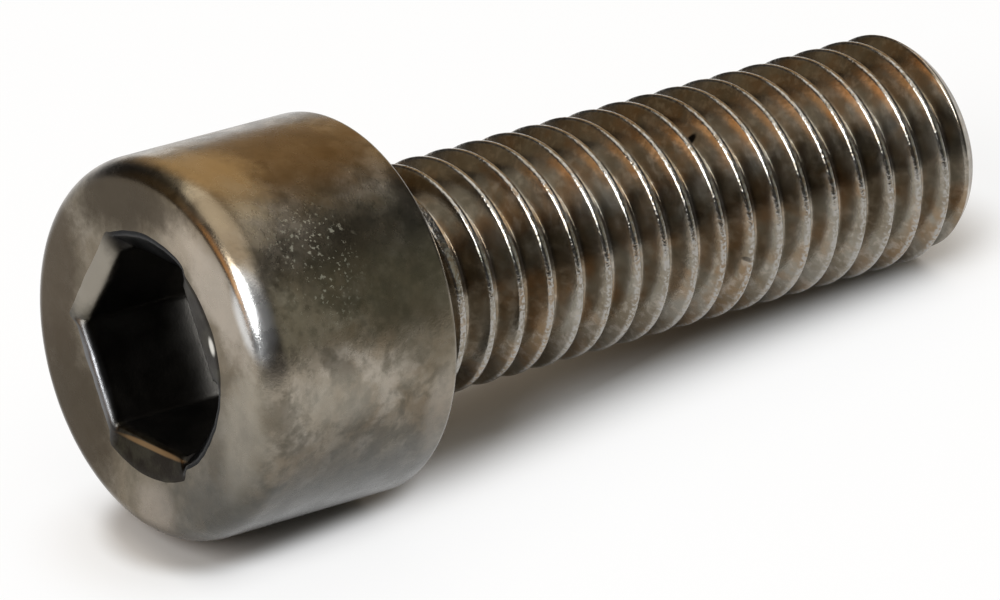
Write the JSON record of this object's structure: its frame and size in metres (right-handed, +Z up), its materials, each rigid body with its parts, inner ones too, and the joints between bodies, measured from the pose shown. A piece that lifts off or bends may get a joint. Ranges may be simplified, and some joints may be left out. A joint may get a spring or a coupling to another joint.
{
  "type": "hex socket cap screw",
  "caption": "Hex socket cap screw with a plain round head and a right-hand thread up to the head, lying on its side.",
  "frame": {"origin": "centre of the bounding box on the table, the plane z = 0 that the screw lies on", "axes": "+X from the head to the tip, with the screw's own axis sloping 5.92 degrees down towards the tip because the head is thicker than the shank; +Z up"},
  "size_m": [0.0337, 0.013, 0.0137],
  "materials": {
    "steel": "worn bare steel, satin to polished, with brown and olive stains and a few pale specks of corrosion"
  },
  "bodies": {
    "root": {"screw": "steel"}
  },
  "joints": []
}
